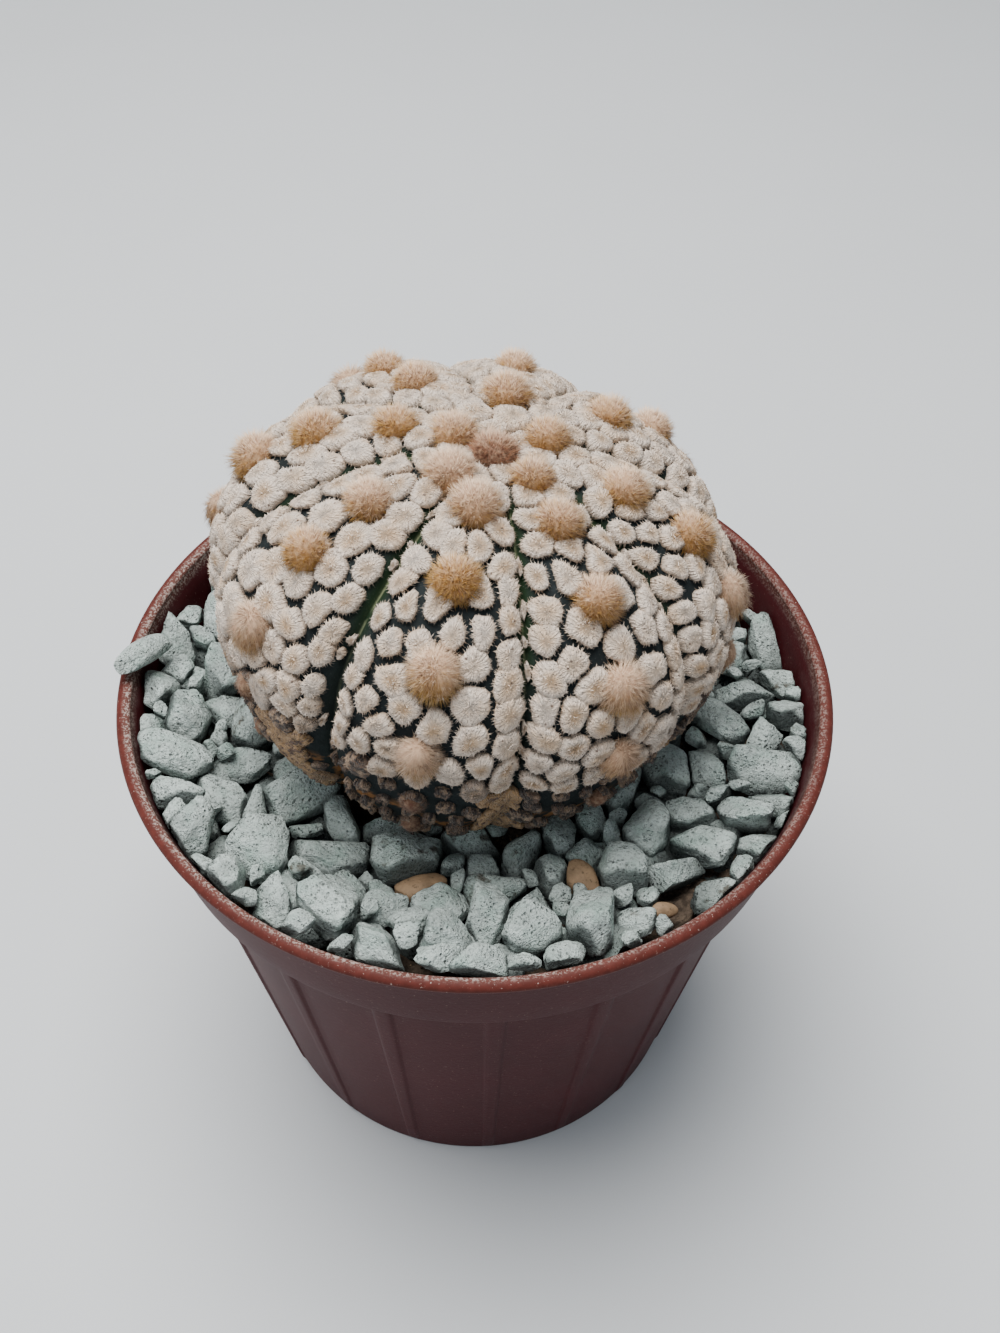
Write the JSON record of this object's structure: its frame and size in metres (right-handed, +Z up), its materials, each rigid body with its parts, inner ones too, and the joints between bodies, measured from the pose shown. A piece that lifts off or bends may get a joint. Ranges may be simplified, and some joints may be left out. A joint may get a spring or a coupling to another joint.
{
  "type": "potted star cactus",
  "caption": "Round ribbed star cactus covered in felt flecks and wool tufts, in a tapered plastic pot filled with soil and topped with loose stones.",
  "frame": {"origin": "centre of the pot's foot, on the surface it stands on", "axes": "+Z up along the pot's axis; -Y is the front that the picture shows; +X is right"},
  "size_m": [0.105, 0.105, 0.1303],
  "materials": {
    "pot_plastic": "satin moulded plastic, terracotta brown",
    "potting_soil": "rough, dark, loose",
    "grey_green_stone": "dry, pitted, chalky",
    "cactus_felt": "woolly felt flecks on waxy dark green skin",
    "cactus_skin": "waxy, dark green",
    "areole_wool": "dense fine hair, straw yellow",
    "tan_pebble": "dry, smooth"
  },
  "bodies": {
    "root": {"pot": "pot_plastic", "soil": "potting_soil", "gravel": "grey_green_stone", "cactus": "cactus_felt"}
  },
  "joints": []
}
